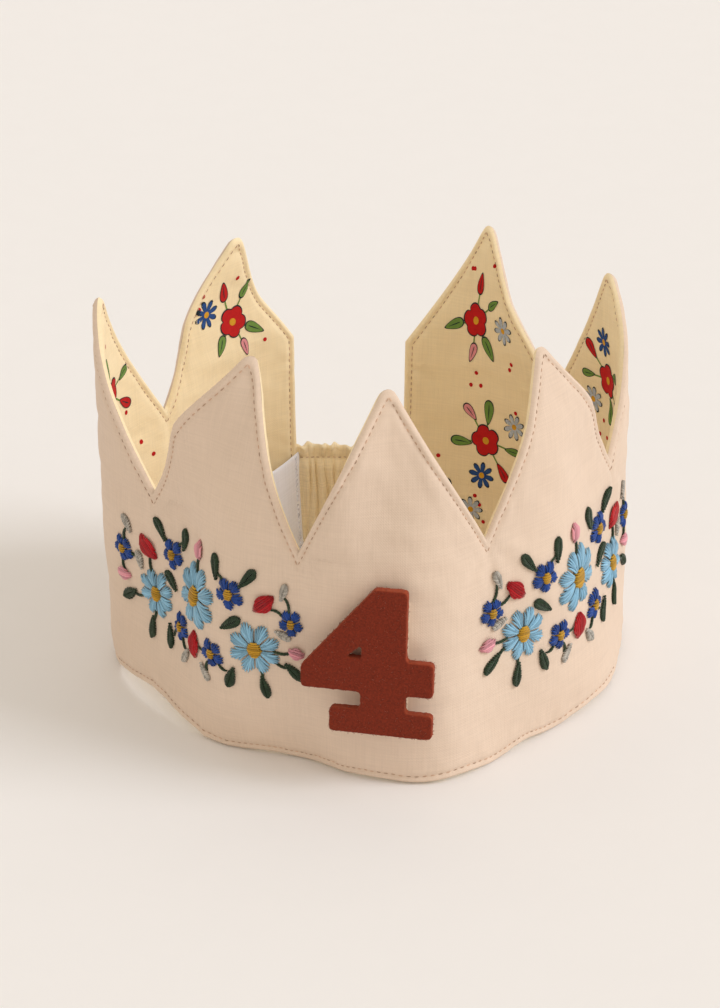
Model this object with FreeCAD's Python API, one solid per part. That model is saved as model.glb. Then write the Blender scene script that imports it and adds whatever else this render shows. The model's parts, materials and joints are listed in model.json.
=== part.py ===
import FreeCAD, Part
import math
import os

# Padded fabric birthday crown, standing on its hem. Millimetres, +Z up.
# The front point faces -Y. The origin is on the table, under the middle of the crown.
# The wall is a strip of seven points, closed into a ring by a gathered casing at the back.
# A place on the strip is (along, height): along runs from the strip's back left end,
# round the left side, the front and the right side, to its back right end.

# The strip
POINT_PITCH = 64.0
VALLEY_HEIGHT = 72.0
TIP_HEIGHT = 124.0
END_TRIM = 4.0
TIP_ROUND = 3.0

# The layers of the wall
FABRIC = 0.8
PADDING = 1.6
SEAM_WIDTH = 4.0
LAYER_CLEARANCE = 0.2

# The soft ring as it stands: rows of (half pitches along the strip, bearing from the front,
# and how far the wall stands out from a round ring at the hem, the valleys and the tips).
RING = (
    (0.0, -162, -2, 4, 10),
    (1.0, -139, -2, 0, -7),
    (2.0, -114, 0, -1, 1),
    (3.0, -92, 7, 9, 9),
    (4.0, -68, 0, -3, 4),
    (4.5, -56, -2, -8, -7),
    (5.0, -43, -5, -6, -22),
    (6.0, -20, -11, -6, -9),
    (6.5, -10, -7, -4, -3),
    (7.0, 1, -3, -5, -13),
    (7.5, 14, 0, -6, -9),
    (8.0, 27, -5, -11, -12),
    (9.0, 53, -8, -11, -20),
    (9.5, 70, -4, -12, -15),
    (10.0, 86, -2, -7, -6),
    (11.0, 108, 3, 2, -3),
    (12.0, 129, 0, -4, -13),
    (13.0, 151, -3, -5, -4),
    (14.0, 177, -5, -6, -5),
)
POINT_COUNT = int(RING[-1][0] / 2)

# The stretch of the left hem that is buckled up off the table
ARCH_PLACE = 130.0
ARCH_SPAN = 50.0
ARCH_RISE = 5.0

# The gathered casing at the back, with its elastic
CASING_WIDTH = 34.0
CASING_HEIGHT = 40.0
CASING_HEADER = 4.0
CASING_PLEATS = 9
PLEAT_DEPTH = 1.1
PLEAT_STEPS = 4
CASING_BOW = 1.5
ELASTIC_THICKNESS = 1.0
ELASTIC_MARGIN = 2.0
PLEAT_VARIATION = 0.2
PLEAT_SHUFFLE = 2.1

# The bare woven label in the seam beside the casing
LABEL_LENGTH = 24.0
LABEL_LOW = 4.0
LABEL_HIGH = 38.0
LABEL_THICKNESS = 0.8
LABEL_TURN = -45.0
LABEL_STEPS = 2

# The felt number and the two patches of hook and loop tape that hold it
NUMBER_HEIGHT = 45.0
NUMBER_WIDTH = 38.5
NUMBER_THICKNESS = 3.0
NUMBER_CENTRE_X = -4.0
NUMBER_CENTRE_Z = 43.2
NUMBER_TURN = 11.5
NUMBER_LEAN = 5.5
NUMBER_CORNER = 1.3
FOOT_LEFT = 8.5
FOOT_HEIGHT = 7.5
STEM_LEFT = 17.5
STEM_RIGHT = 30.5
BAR_LOW = 13.0
BAR_HIGH = 23.5
SLOPE_TOP = 21.0
SLOPE_LOW = 19.5
HOLE_WIDTH = 4.6
HOLE_HEIGHT = 4.2
PATCH_WIDTH = 12.0
PATCH_HEIGHT = 34.0
LOOP_THICKNESS = 0.8
HOOK_THICKNESS = 1.0
PATCH_REACH = 16.0

# The two sprays of flowers stitched on the cloth, each laid out about its own middle with
# x towards the front of the crown. Rows of (x, y, radius), then rows of (x, y, turn).
STITCH_GAP = 0.3
STITCH_RELIEF = 0.7
STITCH_DOME = 0.3
CENTRE_RELIEF = 0.5
CENTRE_SHARE = 0.3
SPRAY_HEIGHT = 46.0
SPRAY_LEFT = 153.0
SPRAY_RIGHT = 293.0
LARGE_FLOWERS = ((0, 2, 10), (24, -7, 8.5), (-23.5, -7, 8))
SMALL_FLOWERS = (
    (15.5, 9, 5), (-15.5, 9, 5), (9, -12.5, 4.5), (-9, -12.5, 4.5), (36.5, 3, 4.5), (-38, 2, 4.2),
)
RED_BUDS = ((27, 8, 40), (-27.5, 7, 140), (0, -14, 90))
PINK_BUDS = ((38, -7, -10), (-38.5, -7, 190), (0, 16.5, 90))
GREEN_LEAVES = (
    (9.5, 16, 100), (22, 15.5, 50), (-9.5, 16, 80), (-22, 15.5, 130),
    (37, -13.5, -40), (26.5, -20, -80), (15.5, -18.5, -110),
    (-36.5, -13, -140), (-25.5, -19.5, -95), (-15.5, -18.5, -75),
    (16.5, 0, 35), (-16.5, 0, 145),
)
GREY_LEAVES = (
    (33.5, -1.5, -25), (34, 13, 70), (-31, 1.5, 110), (-36, 11.5, 120),
    (5.5, -20.5, -60), (-5.5, -20.5, -120),
)
LEAVES_AND_BUDS = (
    ("_red_buds", 9.0, 5.6, RED_BUDS),
    ("_pink_buds", 6.5, 4.2, PINK_BUDS),
    ("_green_leaves", 8.0, 3.2, GREEN_LEAVES),
    ("_grey_leaves", 6.0, 2.6, GREY_LEAVES),
)
PETAL_SHAPE = ((0.0, 0.62), (0.22, 0.93), (0.5, 1.0), (0.78, 0.93))
LEAF_SHARES = (0.0, 0.25, 0.5, 0.75, 1.0)
DISC_SIDES = 8

HALF_PITCH = POINT_PITCH / 2
STRIP_LENGTH = POINT_COUNT * POINT_PITCH
STRIP_START = END_TRIM
STRIP_END = STRIP_LENGTH - END_TRIM
RING_RADIUS = (STRIP_END - STRIP_START + CASING_WIDTH) / (2 * math.pi)
HALF_WALL = FABRIC + PADDING / 2
POINT_DEPTH = TIP_HEIGHT - VALLEY_HEIGHT
SLOPE_RISE = POINT_DEPTH / HALF_PITCH
EDGE_SHIFT = math.hypot(1, SLOPE_RISE)
TIP_SPREAD = TIP_ROUND * SLOPE_RISE / EDGE_SHIFT

# How finely the soft surfaces are faceted
FACETS_PER_SLOPE = 4
BODY_ROWS = 4
POINT_ROWS = 3
SMALLEST_EDGE = 0.001

Vector = FreeCAD.Vector


def ring_points(height):
    """Points of the wall's middle line at a height, one for each row of RING."""
    low = (height - VALLEY_HEIGHT) * (height - TIP_HEIGHT) / (VALLEY_HEIGHT * TIP_HEIGHT)
    middle = height * (TIP_HEIGHT - height) / (VALLEY_HEIGHT * POINT_DEPTH)
    high = height * (height - VALLEY_HEIGHT) / (TIP_HEIGHT * POINT_DEPTH)
    points = []
    for row in RING:
        radius = RING_RADIUS + low * row[2] + middle * row[3] + high * row[4]
        bearing = math.radians(row[1])
        points.append(Vector(radius * math.sin(bearing), -radius * math.cos(bearing), height))
    return points


def smooth_line(points):
    """A smooth line through one point for each row of RING, measured along the strip."""
    places = [row[0] * HALF_PITCH for row in RING]
    line = Part.BSplineCurve()
    line.interpolate(Points=points, Parameters=places)
    return line


def level_line(height, offset):
    """The wall's line at a height, moved out by an offset."""
    points = ring_points(height)
    middle = smooth_line(points)
    moved = []
    for row, point in zip(RING, points):
        along = middle.tangent(row[0] * HALF_PITCH)[0]
        outward = Vector(along.y, -along.x, 0).normalize()
        moved.append(point + outward * offset)
    return smooth_line(moved)


def wall_surface(offset):
    """The wall's surface at an offset. Its two parameters are along and height."""
    bottom = level_line(0, offset)
    halfway = level_line(TIP_HEIGHT / 2, offset)
    top = level_line(TIP_HEIGHT, offset)
    rows = []
    for low, middle, high in zip(bottom.getPoles(), halfway.getPoles(), top.getPoles()):
        rows.append([low, middle * 2 - (low + high) * 0.5, high])
    surface = Part.BSplineSurface()
    surface.buildFromPolesMultsKnots(
        rows, bottom.getMultiplicities(), [3, 3], bottom.getKnots(), [0, TIP_HEIGHT],
        False, False, bottom.Degree, 2)
    return surface


MIDDLE = wall_surface(0)


def on_wall(along, height, offset):
    """A point at a place on the strip, moved out level from the wall's middle."""
    return MIDDLE.value(along, height) + level_normal(along, height) * offset


def level_normal(along, height):
    """The level direction straight out of the wall at a place."""
    outward = MIDDLE.normal(along, height)
    return Vector(outward.x, outward.y, 0).normalize()


def columns(inset):
    """Places along the strip where the facets of the wall meet, held back at both ends."""
    facet_width = HALF_PITCH / FACETS_PER_SLOPE
    places = {count * facet_width for count in range(1, 2 * POINT_COUNT * FACETS_PER_SLOPE)}
    for count in range(POINT_COUNT):
        tip = (count + 0.5) * POINT_PITCH
        places.update((tip - TIP_SPREAD, tip + TIP_SPREAD))
    places.update((STRIP_START, STRIP_END))
    inner = HALF_PITCH - STRIP_START
    held = []
    for place in sorted(places):
        from_start = max(0, HALF_PITCH - place) / inner
        from_end = max(0, place - STRIP_LENGTH + HALF_PITCH) / inner
        held.append(place + inset * (from_start - from_end))
    return held


def rim_height(along, inset):
    """Height of the cut edge at a place: slopes between the valleys and the rounded tips."""
    from_tip = abs((along % POINT_PITCH) - HALF_PITCH)
    if inset == 0 and from_tip < TIP_SPREAD:
        return TIP_HEIGHT - TIP_ROUND * EDGE_SHIFT + math.sqrt(TIP_ROUND ** 2 - from_tip ** 2)
    return TIP_HEIGHT - from_tip * SLOPE_RISE - inset * EDGE_SHIFT


def hem_height(along, inset):
    """Height of the lower edge at a place: flat on the table but for the buckled stretch."""
    reach = abs(along - ARCH_PLACE)
    if reach >= ARCH_SPAN / 2:
        return inset
    radius = ((ARCH_SPAN / 2) ** 2 + ARCH_RISE ** 2) / (2 * ARCH_RISE)
    return inset + ARCH_RISE - radius + math.sqrt(radius ** 2 - reach ** 2)


def sheet(offset, inset):
    """Corner points of the facets of one skin of the wall, as columns from hem to rim."""
    valley_row = VALLEY_HEIGHT - inset * EDGE_SHIFT
    skin = []
    for along in columns(inset):
        hem = hem_height(along, inset)
        rim = rim_height(along, inset)
        heights = [hem + (valley_row - hem) * row / BODY_ROWS for row in range(BODY_ROWS)]
        heights += [valley_row + (rim - valley_row) * row / POINT_ROWS for row in range(POINT_ROWS + 1)]
        skin.append([on_wall(along, height, offset) for height in heights])
    return skin


def facets(skin):
    """The facets that fill a skin."""
    corners = []
    for left, right in zip(skin, skin[1:]):
        for row in range(len(left) - 1):
            corners.append((left[row], right[row], right[row + 1]))
            corners.append((left[row], right[row + 1], left[row + 1]))
    return corners


def border(skin):
    """The corner points round the edge of a skin."""
    bottom = [column[0] for column in skin]
    top = [column[-1] for column in skin]
    return bottom + skin[-1][1:-1] + top[::-1] + skin[0][-2:0:-1]


def ribbon(first, second):
    """The facets of the ribbon that joins two closed rows of points."""
    corners = []
    for index in range(len(first)):
        corners.append((first[index - 1], first[index], second[index]))
        corners.append((first[index - 1], second[index], second[index - 1]))
    return corners


def closed_solid(corners):
    """The solid that a closed set of facets bounds."""
    faces = []
    for a, b, c in corners:
        if min(a.distanceToPoint(b), b.distanceToPoint(c), c.distanceToPoint(a)) > SMALLEST_EDGE:
            faces.append(Part.Face(Part.makePolygon([a, b, c, a])))
    shell = Part.makeShell(faces)
    shell.sewShape()
    solid = Part.makeSolid(shell)
    if solid.Volume < 0:
        solid.reverse()
    return solid.removeSplitter()


def cloth(face_offset, pocket_offset):
    """One cloth of the wall: its face, its half of the seam all round and half of the pocket."""
    face = sheet(face_offset, 0)
    seam_edge = border(sheet(0, 0))
    pocket_edge = border(sheet(0, SEAM_WIDTH))
    pocket = sheet(pocket_offset, SEAM_WIDTH)
    corners = facets(face) + ribbon(border(face), seam_edge) + ribbon(seam_edge, pocket_edge)
    corners += ribbon(pocket_edge, border(pocket)) + facets(pocket)
    return closed_solid(corners)


def outer_shell():
    """The outside cloth with its half of the seams."""
    return cloth(HALF_WALL, PADDING / 2 + LAYER_CLEARANCE)


def lining():
    """The inside cloth with the other half of the seams."""
    return cloth(-HALF_WALL, -PADDING / 2 - LAYER_CLEARANCE)


def interlining():
    """The sheet of wadding sealed between the two cloths."""
    inner = sheet(-PADDING / 2, SEAM_WIDTH + LAYER_CLEARANCE)
    outer = sheet(PADDING / 2, SEAM_WIDTH + LAYER_CLEARANCE)
    return closed_solid(facets(inner) + ribbon(border(inner), border(outer)) + facets(outer))


def corner_arc(before, corner, after, radius):
    """Start, middle and end of the arc that rounds a corner."""
    back = (before - corner).normalize()
    ahead = (after - corner).normalize()
    half = back.getAngle(ahead) / 2
    bisector = (back + ahead).normalize()
    run = radius / math.tan(half)
    dip = radius / math.sin(half) - radius
    return corner + back * run, corner + bisector * dip, corner + ahead * run


def casing_row(height, offset, gather):
    """One side of the casing at a height: a row of pleats across the gap at the back."""
    first = STRIP_START - LAYER_CLEARANCE
    last = STRIP_END + LAYER_CLEARANCE
    steps = PLEAT_STEPS * CASING_PLEATS
    points = []
    for step in range(steps + 1):
        share = step / steps
        uneven = 1 + PLEAT_VARIATION * math.sin(PLEAT_SHUFFLE * (step // PLEAT_STEPS))
        swell = gather * PLEAT_DEPTH * uneven * abs(math.sin(math.pi * step / PLEAT_STEPS))
        out = CASING_BOW * 4 * share * (1 - share) + offset + math.copysign(swell, offset)
        side = level_normal(first, height) * (1 - share) + level_normal(last, height) * share
        between = MIDDLE.value(first, height) * (1 - share) + MIDDLE.value(last, height) * share
        points.append(between + side.normalize() * out)
    return points


def casing_wall(offset, levels):
    """One side of the casing or of the elastic, as columns of points."""
    rows = [casing_row(height, offset, gather) for height, gather in levels]
    return [list(column) for column in zip(*rows)]


def strip_solid(half, levels):
    """The closed strip between the two sides of a casing or an elastic."""
    inner = casing_wall(-half, levels)
    outer = casing_wall(half, levels)
    return closed_solid(facets(inner) + ribbon(border(inner), border(outer)) + facets(outer))


def elastic_strip(extra):
    """A flat strip along the middle of the casing, larger all round by a little extra."""
    low = CASING_HEADER + ELASTIC_MARGIN - extra
    high = CASING_HEIGHT - CASING_HEADER - ELASTIC_MARGIN + extra
    return strip_solid(ELASTIC_THICKNESS / 2 + extra, ((low, 0), (high, 0)))


def elastic_band():
    """The flat elastic inside the casing, sewn to both ends of the wall."""
    return elastic_strip(0)


def back_casing():
    """The gathered tube of lining cloth, pinched along two stitch lines."""
    levels = (
        (0, 0.9),
        (CASING_HEADER, 0.3),
        (CASING_HEIGHT / 2, 1.0),
        (CASING_HEIGHT - CASING_HEADER, 0.3),
        (CASING_HEIGHT, 1.2),
    )
    half = ELASTIC_THICKNESS / 2 + LAYER_CLEARANCE + FABRIC / 2
    return strip_solid(half, levels).cut(elastic_strip(LAYER_CLEARANCE))


def side_label():
    """The bare folded label that stands out of the seam into the ring."""
    skins = []
    for side in (-1, 1):
        skin = []
        for step in range(LABEL_STEPS + 1):
            column = []
            for height in (LABEL_LOW, (LABEL_LOW + LABEL_HIGH) / 2, LABEL_HIGH):
                seam = on_wall(STRIP_START + FABRIC, height, -HALF_WALL - LABEL_THICKNESS)
                inward = level_normal(STRIP_START, height) * -1
                along = FreeCAD.Rotation(Vector(0, 0, 1), LABEL_TURN).multVec(inward)
                across = Vector(-along.y, along.x, 0) * (side * LABEL_THICKNESS / 2)
                column.append(seam + along * (LABEL_LENGTH * step / LABEL_STEPS) + across)
            skin.append(column)
        skins.append(skin)
    return closed_solid(facets(skins[0]) + ribbon(border(skins[0]), border(skins[1])) + facets(skins[1]))


def number_axes():
    """Right, up and outward of the felt number."""
    turn = math.radians(NUMBER_TURN)
    lean = math.radians(NUMBER_LEAN)
    right = Vector(math.cos(turn), -math.sin(turn), 0)
    outward = Vector(-math.sin(turn) * math.cos(lean), -math.cos(turn) * math.cos(lean), math.sin(lean))
    return right, outward.cross(right), outward


def number_seat():
    """The lower left corner of the number's back face, clear of the cloth and both patches."""
    right, up, outward = number_axes()
    centre = Vector(NUMBER_CENTRE_X, 0, NUMBER_CENTRE_Z)
    proudest = max((point - centre).dot(outward) for point in cloth_behind_number())
    ahead = Vector(0, -1, 0)
    centre += ahead * ((proudest + LOOP_THICKNESS + HOOK_THICKNESS) / ahead.dot(outward))
    return centre - right * (NUMBER_WIDTH / 2) - up * (NUMBER_HEIGHT / 2)


def cloth_behind_number():
    """The corner points of the outer cloth that lie behind the number."""
    behind = []
    for column in sheet(HALF_WALL, 0):
        for point in column:
            beside = abs(point.x - NUMBER_CENTRE_X) < NUMBER_WIDTH / 2
            level = abs(point.z - NUMBER_CENTRE_Z) < NUMBER_HEIGHT / 2
            if point.y < 0 and beside and level:
                behind.append(point)
    return behind


def rounded_outline(corners, radius):
    """A closed outline through corners, each one rounded by the same radius."""
    arcs = []
    count = len(corners)
    for index, corner in enumerate(corners):
        arcs.append(corner_arc(corners[index - 1], corner, corners[(index + 1) % count], radius))
    edges = []
    for index, arc in enumerate(arcs):
        edges.append(Part.Arc(arc[0], arc[1], arc[2]).toShape())
        edges.append(Part.makeLine(arc[2], arcs[(index + 1) % count][0]))
    return Part.Wire(edges)


def seated(shape):
    """Move a shape from the number's own plane to its place on the crown."""
    right, up, outward = number_axes()
    shape.Placement = FreeCAD.Placement(number_seat(), FreeCAD.Rotation(right, up, outward, "ZXY"))
    return shape


def felt_number():
    """The thick felt figure 4 with a square foot."""
    corners = [
        Vector(FOOT_LEFT, 0),
        Vector(NUMBER_WIDTH, 0),
        Vector(NUMBER_WIDTH, FOOT_HEIGHT),
        Vector(STEM_RIGHT, FOOT_HEIGHT),
        Vector(STEM_RIGHT, BAR_LOW),
        Vector(NUMBER_WIDTH, BAR_LOW),
        Vector(NUMBER_WIDTH, BAR_HIGH),
        Vector(STEM_RIGHT, BAR_HIGH),
        Vector(STEM_RIGHT, NUMBER_HEIGHT),
        Vector(SLOPE_TOP, NUMBER_HEIGHT),
        Vector(0, SLOPE_LOW),
        Vector(0, BAR_LOW),
        Vector(STEM_LEFT, BAR_LOW),
        Vector(STEM_LEFT, FOOT_HEIGHT),
        Vector(FOOT_LEFT, FOOT_HEIGHT),
    ]
    hole = [
        Vector(STEM_LEFT - HOLE_WIDTH, BAR_HIGH),
        Vector(STEM_LEFT, BAR_HIGH),
        Vector(STEM_LEFT, BAR_HIGH + HOLE_HEIGHT),
    ]
    figure = Part.Face(rounded_outline(corners, NUMBER_CORNER)).extrude(Vector(0, 0, NUMBER_THICKNESS))
    opening = Part.Face(Part.makePolygon(hole + hole[:1])).extrude(Vector(0, 0, NUMBER_THICKNESS))
    return seated(figure.cut(opening))


def patch_block():
    """A block behind the stem of the number, from the number's back deep into the crown."""
    middle = (STEM_LEFT + STEM_RIGHT) / 2
    corner = Vector(middle - PATCH_WIDTH / 2, (NUMBER_HEIGHT - PATCH_HEIGHT) / 2, -PATCH_REACH)
    return seated(Part.makeBox(PATCH_WIDTH, PATCH_HEIGHT, PATCH_REACH, corner))


def front_wall(inner, outer):
    """The body of the wall round its middle, between two offsets."""
    skins = []
    for offset in (inner, outer):
        skin = [column[:BODY_ROWS + 1] for column in sheet(offset, 0)]
        middle = len(skin) // 2
        reach = 2 * FACETS_PER_SLOPE
        skins.append(skin[middle - reach:middle + reach + 1])
    return closed_solid(facets(skins[0]) + ribbon(border(skins[0]), border(skins[1])) + facets(skins[1]))


def front_loop_patch():
    """The strip of loop tape sewn to the front of the crown."""
    return patch_block().common(front_wall(HALF_WALL, HALF_WALL + LOOP_THICKNESS))


def number_hook_patch():
    """The strip of hook tape on the number's back, pressed against the loops."""
    return patch_block().cut(front_wall(-PATCH_REACH, HALF_WALL + LOOP_THICKNESS))


def flower_outline(radius, petals):
    """A flower seen from the front: round petals that meet at a narrower waist."""
    points = []
    for petal in range(petals):
        for share, reach in PETAL_SHAPE:
            angle = 2 * math.pi * (petal + share) / petals
            points.append((radius * reach * math.cos(angle), radius * reach * math.sin(angle)))
    return points


def disc_outline(radius):
    """The small round centre of a flower."""
    angles = [2 * math.pi * step / DISC_SIDES for step in range(DISC_SIDES)]
    return [(radius * math.cos(angle), radius * math.sin(angle)) for angle in angles]


def leaf_outline(length, width):
    """A pointed leaf or bud about its own middle, lying along its own X."""
    points = []
    for share in LEAF_SHARES:
        points.append((length * (share - 0.5), width / 2 * math.sin(math.pi * share)))
    return points + [(x, -y) for x, y in points[-2:0:-1]]


def raised(outline, place, turn, low, high):
    """A stitched shape on the outer cloth, domed a little, from one height above it to another."""
    cosine = math.cos(math.radians(turn))
    sine = math.sin(math.radians(turn))
    along, height = place
    rim = [(along + x * cosine - y * sine, height + x * sine + y * cosine) for x, y in outline]
    bottom = [on_wall(x, y, HALF_WALL + low) for x, y in rim]
    top = [on_wall(x, y, HALF_WALL + high) for x, y in rim]
    under = on_wall(along, height, HALF_WALL + low)
    crest = on_wall(along, height, HALF_WALL + high + STITCH_DOME)
    corners = ribbon(bottom, top)
    for index in range(len(rim)):
        corners.append((bottom[index - 1], bottom[index], under))
        corners.append((top[index - 1], top[index], crest))
    return closed_solid(corners)


def spray(side, middle, flip):
    """All the stitched shapes of one spray of flowers, as solids in a group for each colour."""
    base = STITCH_GAP
    face = base + STITCH_RELIEF
    groups = {}

    def place(x, y):
        return middle + flip * x, SPRAY_HEIGHT + y

    def turned(turn):
        return turn if flip > 0 else 180 - turn

    def stitch(colour, outline, x, y, turn, low, high):
        groups.setdefault(side + colour, []).append(raised(outline, place(x, y), turned(turn), low, high))

    for x, y, radius in LARGE_FLOWERS:
        stitch("_blue_blossoms", flower_outline(radius, 8), x, y, 0, base, face)
        stitch("_ochre_centres", disc_outline(radius * CENTRE_SHARE), x, y, 0, *centre_heights())
    for x, y, radius in SMALL_FLOWERS:
        stitch("_navy_blossoms", flower_outline(radius, 5), x, y, 90, base, face)
        stitch("_ochre_centres", disc_outline(radius * CENTRE_SHARE), x, y, 0, *centre_heights())
    for colour, length, width, rows in LEAVES_AND_BUDS:
        for x, y, turn in rows:
            stitch(colour, leaf_outline(length, width), x, y, turn, base, face)
    return groups


def centre_heights():
    """A flower's centre lies on top of its petals."""
    low = STITCH_GAP + STITCH_RELIEF + STITCH_DOME + STITCH_GAP
    return low, low + CENTRE_RELIEF


def build():
    """Every node of the crown by name."""
    nodes = {
        "outer_shell": outer_shell(),
        "lining": lining(),
        "interlining": interlining(),
        "back_casing": back_casing(),
        "elastic_band": elastic_band(),
        "side_label": side_label(),
        "felt_number": felt_number(),
        "number_hook_patch": number_hook_patch(),
        "front_loop_patch": front_loop_patch(),
    }
    for side, middle, flip in (("left", SPRAY_LEFT, 1), ("right", SPRAY_RIGHT, -1)):
        for name, solids in spray(side, middle, flip).items():
            nodes[name] = Part.makeCompound(solids)
    bounds = Part.makeCompound(list(nodes.values())).BoundBox
    for shape in nodes.values():
        shape.translate(Vector(-bounds.Center.x, -bounds.Center.y, 0))
    return nodes


def main():
    os.makedirs("parts", exist_ok=True)
    for name, shape in build().items():
        shape.exportStep(os.path.join("parts", name + ".step"))


if __name__ == "__main__":
    main()
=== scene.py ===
import json
import math
import random

import bpy
import numpy as np
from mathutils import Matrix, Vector, noise

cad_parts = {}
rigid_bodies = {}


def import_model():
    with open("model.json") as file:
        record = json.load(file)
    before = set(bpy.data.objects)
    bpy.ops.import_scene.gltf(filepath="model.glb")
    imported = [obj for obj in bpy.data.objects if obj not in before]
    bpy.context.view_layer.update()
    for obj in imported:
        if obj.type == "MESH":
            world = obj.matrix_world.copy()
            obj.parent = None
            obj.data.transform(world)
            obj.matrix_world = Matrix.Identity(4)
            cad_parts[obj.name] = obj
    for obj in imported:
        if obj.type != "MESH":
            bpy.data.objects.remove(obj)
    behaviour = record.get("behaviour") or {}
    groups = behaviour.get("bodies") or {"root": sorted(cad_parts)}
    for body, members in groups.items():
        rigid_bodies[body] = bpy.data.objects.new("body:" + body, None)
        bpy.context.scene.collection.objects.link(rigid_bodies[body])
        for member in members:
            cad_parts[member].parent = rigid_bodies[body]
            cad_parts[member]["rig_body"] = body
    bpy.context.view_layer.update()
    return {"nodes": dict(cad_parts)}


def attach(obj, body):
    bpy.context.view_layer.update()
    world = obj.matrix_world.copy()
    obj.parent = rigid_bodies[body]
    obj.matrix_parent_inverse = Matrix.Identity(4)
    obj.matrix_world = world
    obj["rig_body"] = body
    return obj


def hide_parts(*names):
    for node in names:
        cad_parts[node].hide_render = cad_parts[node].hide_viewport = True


bl_info = {
    "name": "Padded Birthday Crown",
    "version": (1, 0, 0),
    "blender": (4, 5, 0),
    "location": "3D View > Sidebar > Crown",
    "description": "Dresses the crown's solids with cloth, thread, felt and print",
    "category": "Object",
}

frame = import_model()

# Sizes are in millimetres until a mesh is made.
MM = 0.001

# The strip that the wall is cut from, and the soft ring it stands in, as the solids have them
POINT_PITCH = 64.0
VALLEY_HEIGHT = 72.0
TIP_HEIGHT = 124.0
END_TRIM = 4.0
TIP_ROUND = 3.0
RING = (
    (0.0, -162, -2, 4, 10),
    (1.0, -139, -2, 0, -7),
    (2.0, -114, 0, -1, 1),
    (3.0, -92, 7, 9, 9),
    (4.0, -68, 0, -3, 4),
    (4.5, -56, -2, -8, -7),
    (5.0, -43, -5, -6, -22),
    (6.0, -20, -11, -6, -9),
    (6.5, -10, -7, -4, -3),
    (7.0, 1, -3, -5, -13),
    (7.5, 14, 0, -6, -9),
    (8.0, 27, -5, -11, -12),
    (9.0, 53, -8, -11, -20),
    (9.5, 70, -4, -12, -15),
    (10.0, 86, -2, -7, -6),
    (11.0, 108, 3, 2, -3),
    (12.0, 129, 0, -4, -13),
    (13.0, 151, -3, -5, -4),
    (14.0, 177, -5, -6, -5),
)
RING_CENTRE = (4.399, 4.703)
ARCH_PLACE = 130.0
ARCH_SPAN = 50.0
ARCH_RISE = 5.0
CASING_WIDTH = 34.0
CASING_HEIGHT = 40.0

HALF_PITCH = POINT_PITCH / 2
POINT_COUNT = int(RING[-1][0] / 2)
STRIP_LENGTH = POINT_COUNT * POINT_PITCH
STRIP_START = END_TRIM
STRIP_END = STRIP_LENGTH - END_TRIM
RING_RADIUS = (STRIP_END - STRIP_START + CASING_WIDTH) / (2 * math.pi)
POINT_DEPTH = TIP_HEIGHT - VALLEY_HEIGHT
SLOPE_RISE = POINT_DEPTH / HALF_PITCH
EDGE_SHIFT = math.hypot(1, SLOPE_RISE)
TIP_SPREAD = TIP_ROUND * SLOPE_RISE / EDGE_SHIFT

# The rolled edge, the dip along the stitching and the soft middle of the padded wall
EDGE_ROLL = 1.5
STITCH_INSET = 2.2
STITCH_DIP = 0.55
STITCH_DIP_WIDTH = 0.7
MIDDLE_SWELL = 0.35
SWELL_REACH = 5.0
RING_INSETS = (0.0, 0.25, 0.6, 1.0, 1.4, 1.8, 2.2, 2.6, 3.2, 4.2, 5.5)
COLUMN_STEP = 1.0
ROW_COUNT = 74
WADDING_INSET = 4.6
WADDING_HALF = 0.75

# The cloths' soft shape: puckers beside the stitching, fine wrinkles, broad folds that are deeper
# in the points, creases below each valley, and ripples along the hem
PUCKER_STEP = 11.0
PUCKER_DEPTH = 0.22
PUCKER_REACH = 3.5
WRINKLE_STEP = 5.5
WRINKLE_DEPTH = 0.07
WRINKLE_AT_SEAM = 0.09
BROAD_FOLD = 0.42
BROAD_FOLD_STEP = 40
SMALL_FOLD = 0.20
SMALL_FOLD_STEP = 16
FOLD_FADE = 12.0
POINT_FOLDS = 0.7
DRAG_REACH = 11.0
DRAG_SPREAD = 8.0
DRAG_DEPTH = 0.24
DRAG_COUNT = 9
HEM_WAVE = 1.6
HEM_WAVE_STEP = 17.0

# How far the soft points bend along the ring half-way up, at places on the strip
POINT_BENDS = (
    (0, 0), (16, 4.0), (48, 4.5), (64, 0), (128, 0), (144, -5.0), (164, 0),
    (256, 0), (274, 2.0), (304, 4.5), (320, 0), (384, 0), (400, 4.0), (424, 0),
)

# The two sprays of flowers
SPRAY_HEIGHT = 46.0
SPRAY_LEFT = 153.0
SPRAY_RIGHT = 293.0
CENTRE_SHARE = 0.3
LARGE_FLOWERS = ((0, 2, 10), (24, -7, 8.5), (-23.5, -7, 8))
SMALL_FLOWERS = (
    (15.5, 9, 5), (-15.5, 9, 5), (9, -12.5, 4.5), (-9, -12.5, 4.5), (36.5, 3, 4.5), (-38, 2, 4.2),
)
RED_BUDS = ((27, 8, 40), (-27.5, 7, 140), (0, -14, 90))
PINK_BUDS = ((38, -7, -10), (-38.5, -7, 190), (0, 16.5, 90))
GREEN_LEAVES = (
    (9.5, 16, 100), (22, 15.5, 50), (-9.5, 16, 80), (-22, 15.5, 130),
    (37, -13.5, -40), (26.5, -20, -80), (15.5, -18.5, -110),
    (-36.5, -13, -140), (-25.5, -19.5, -95), (-15.5, -18.5, -75),
    (16.5, 0, 35), (-16.5, 0, 145),
)
GREY_LEAVES = (
    (33.5, -1.5, -25), (34, 13, 70), (-31, 1.5, 110), (-36, 11.5, 120),
    (5.5, -20.5, -60), (-5.5, -20.5, -120),
)

# The felt number and its place, as the solids have it
NUMBER_TURN = 11.5
NUMBER_LEAN = 5.5

# The grid that the felt is remeshed on, and the size and depth of its lumps
FELT_GRID = 0.34
FELT_LUMPS = ((1.8, 0.10), (0.7, 0.09))


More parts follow.
